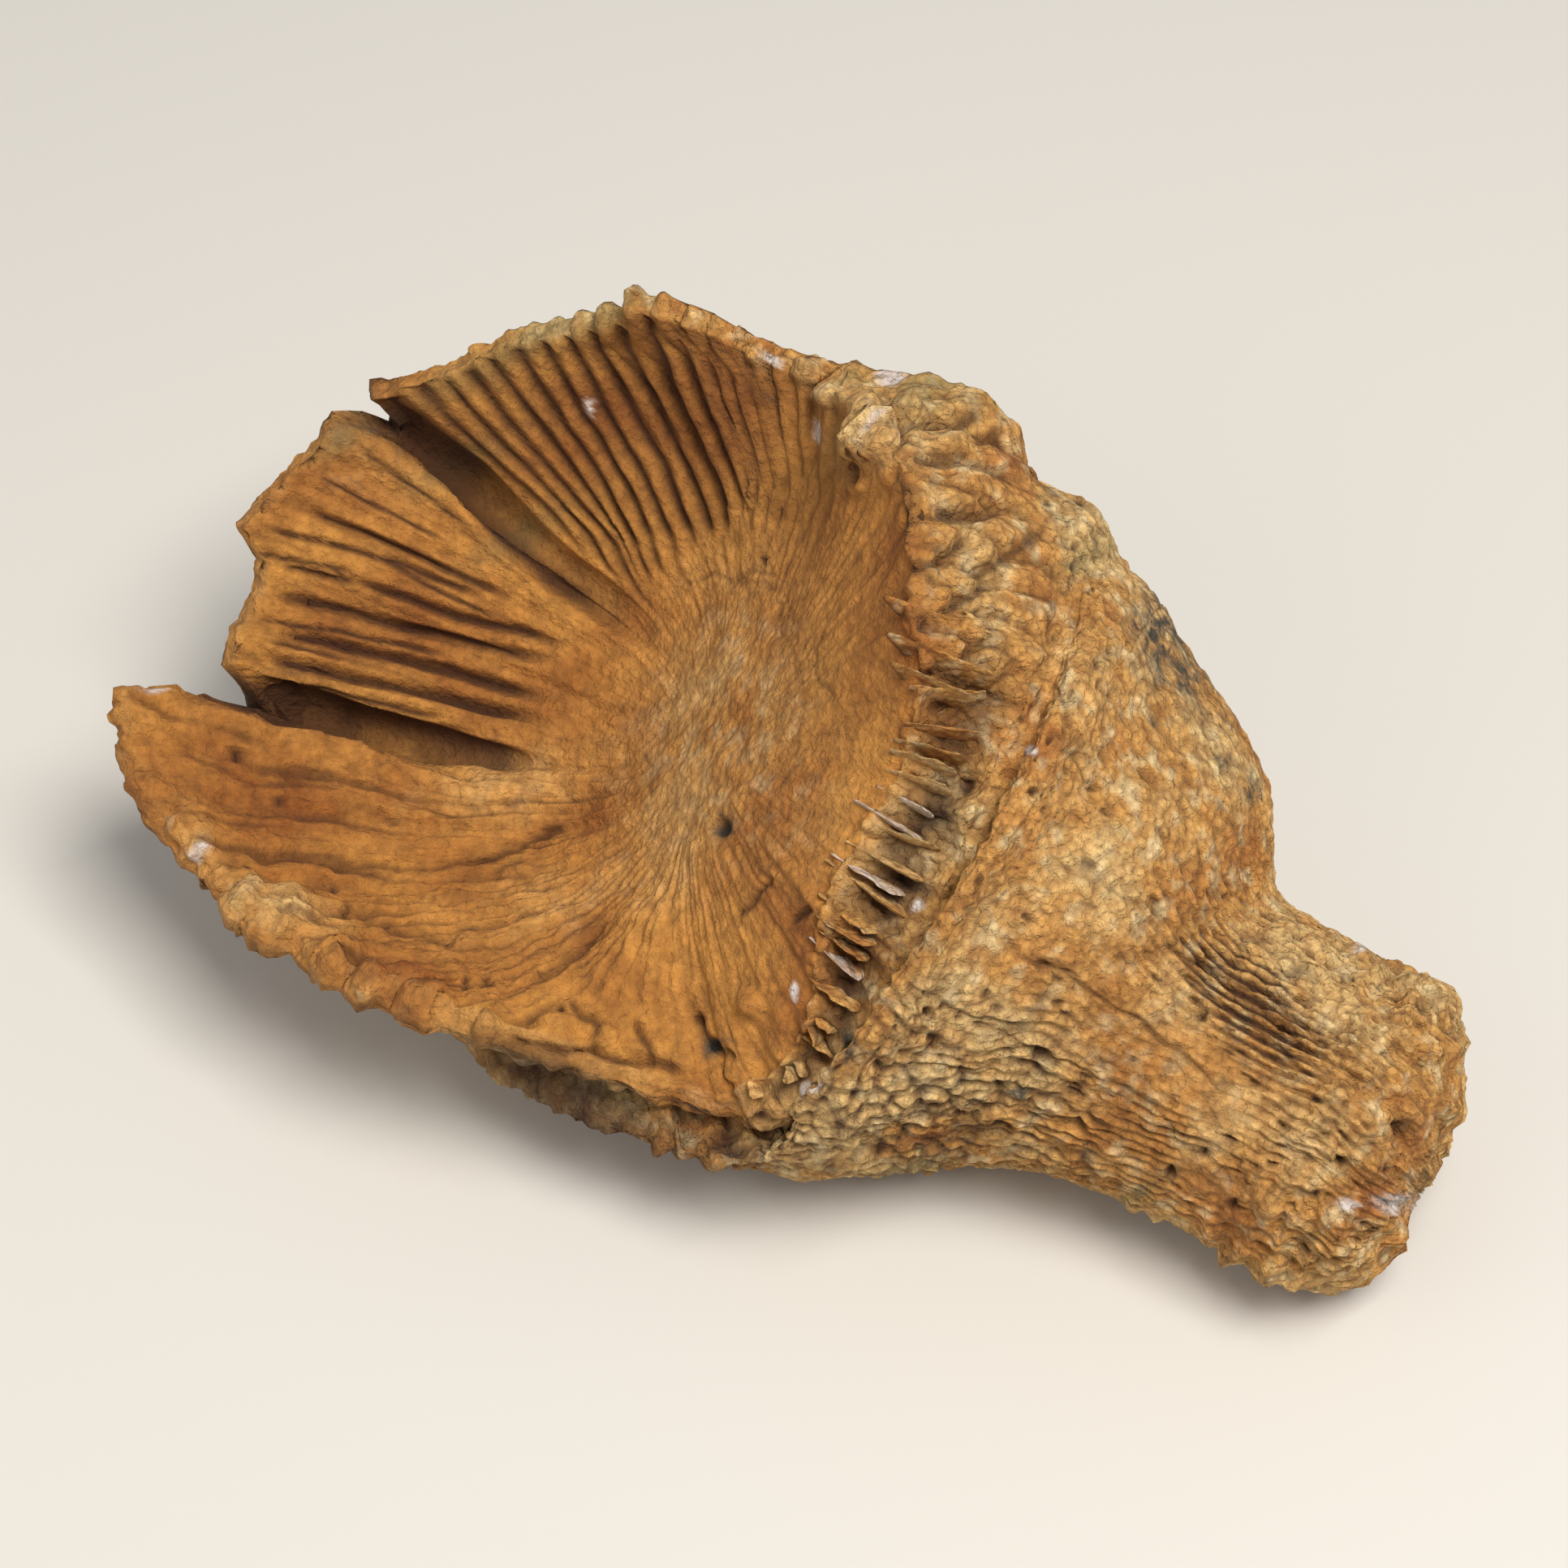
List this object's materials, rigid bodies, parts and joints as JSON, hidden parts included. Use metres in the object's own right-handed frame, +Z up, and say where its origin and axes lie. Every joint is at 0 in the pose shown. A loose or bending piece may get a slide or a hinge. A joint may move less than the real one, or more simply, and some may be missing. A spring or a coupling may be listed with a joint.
{
  "type": "fossil horn coral",
  "caption": "Fossil horn coral lying on its side: a stout bent stem that flares into a wide ribbed cup with a notched, partly broken rim.",
  "frame": {"origin": "middle of the outline's box, on the surface that the coral lies on", "axes": "+X from the tip of the cup to the foot, +Y away from the side that faces the viewer, +Z up"},
  "size_m": [0.0808, 0.0524, 0.0402],
  "materials": {
    "limestone": "matte"
  },
  "bodies": {
    "root": {"horn_coral": "limestone"}
  },
  "joints": []
}
